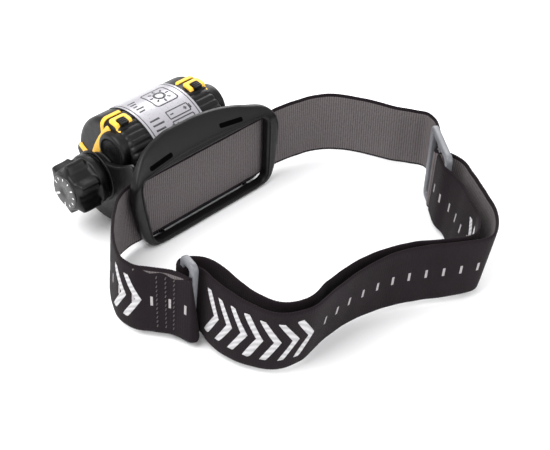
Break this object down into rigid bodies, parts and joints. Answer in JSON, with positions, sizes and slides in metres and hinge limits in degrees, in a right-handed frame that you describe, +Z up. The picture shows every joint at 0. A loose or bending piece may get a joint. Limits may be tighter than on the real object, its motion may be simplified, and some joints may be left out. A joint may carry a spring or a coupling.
{
  "type": "headlamp",
  "caption": "Work headlamp with a tilting two-cell lamp, rotary selector knob and opening front cover, on an adjustable elastic headband.",
  "frame": {"origin": "on the ground in the middle of the bounding box, with the headlamp standing on the lower edge of its strap, upside down from how it is worn", "axes": "+X along the tilt axis away from the selector knob, +Y the way the lamp shines, +Z up"},
  "size_m": [0.1633, 0.1699, 0.0472],
  "materials": {
    "webbing": "woven elastic",
    "buckle_plastic": "moulded satin",
    "black_plastic": "moulded satin",
    "knob_face": "satin, white marks",
    "label": "silver foil label",
    "yellow_rubber": "soft moulded",
    "black_rubber": "soft",
    "clear_lens": "clear",
    "led": "phosphor",
    "mirror_bowl": "mirror",
    "circuit_board": "lacquered",
    "aluminium": "extruded",
    "steel": "brushed",
    "cell_wrap": "printed sleeve",
    "spring_steel": "nickel plated",
    "washer": "acetal"
  },
  "bodies": {
    "headband": {"bracket": "black_plastic", "forehead_frame": "black_plastic", "frame_posts": "steel", "ring_left": "buckle_plastic", "slider_right": "buckle_plastic", "strap_far_run": "webbing", "strap_left_return": "webbing", "strap_left_run": "webbing", "strap_rear_inner": "webbing", "strap_rear_outer": "webbing", "strap_rear_turn": "webbing", "strap_window_run": "webbing"},
    "lamp_body": {"rear_shell": "black_plastic", "label_plate": "label", "latch_hooks": "black_plastic", "cover_hinge_pin": "steel", "shaft_seal": "black_rubber", "rotary_switch": "black_plastic", "pivot_cap": "black_plastic", "pivot_screw": "steel", "friction_washer_left": "washer", "friction_washer_right": "washer", "cell_upper": "cell_wrap", "cell_lower": "cell_wrap", "contact_plate_upper": "spring_steel", "contact_plate_lower": "spring_steel", "contact_spring_upper": "spring_steel", "contact_spring_lower": "spring_steel"},
    "front_cover": {"front_shell": "black_plastic", "seam_trim": "yellow_rubber", "lens_gasket": "black_rubber", "front_lens": "clear_lens", "lens_bezel": "black_plastic", "bezel_screws": "steel", "heat_sink": "aluminium", "led_board": "circuit_board", "led_spot": "led", "led_flood": "led", "reflector": "mirror_bowl", "flood_diffuser": "clear_lens"},
    "selector": {"selector_knob": "black_plastic", "knob_face": "knob_face", "selector_shaft": "steel"}
  },
  "joints": [
    {"name": "lamp_tilt", "type": "hinge", "parent": "headband", "child": "lamp_body", "pos_m": [-0.0131, 0.0594, 0.0228], "axis": [1, 0, 0], "range_deg": [0, 50]},
    {"name": "cover_open", "type": "hinge", "parent": "lamp_body", "child": "front_cover", "pos_m": [-0.0131, 0.0639, 0.0033], "axis": [-1, 0, 0], "range_deg": [0, 75]},
    {"name": "selector_turn", "type": "hinge", "parent": "lamp_body", "child": "selector", "pos_m": [-0.0526, 0.0594, 0.0228], "axis": [1, 0, 0], "range_deg": [-45, 90]}
  ]
}
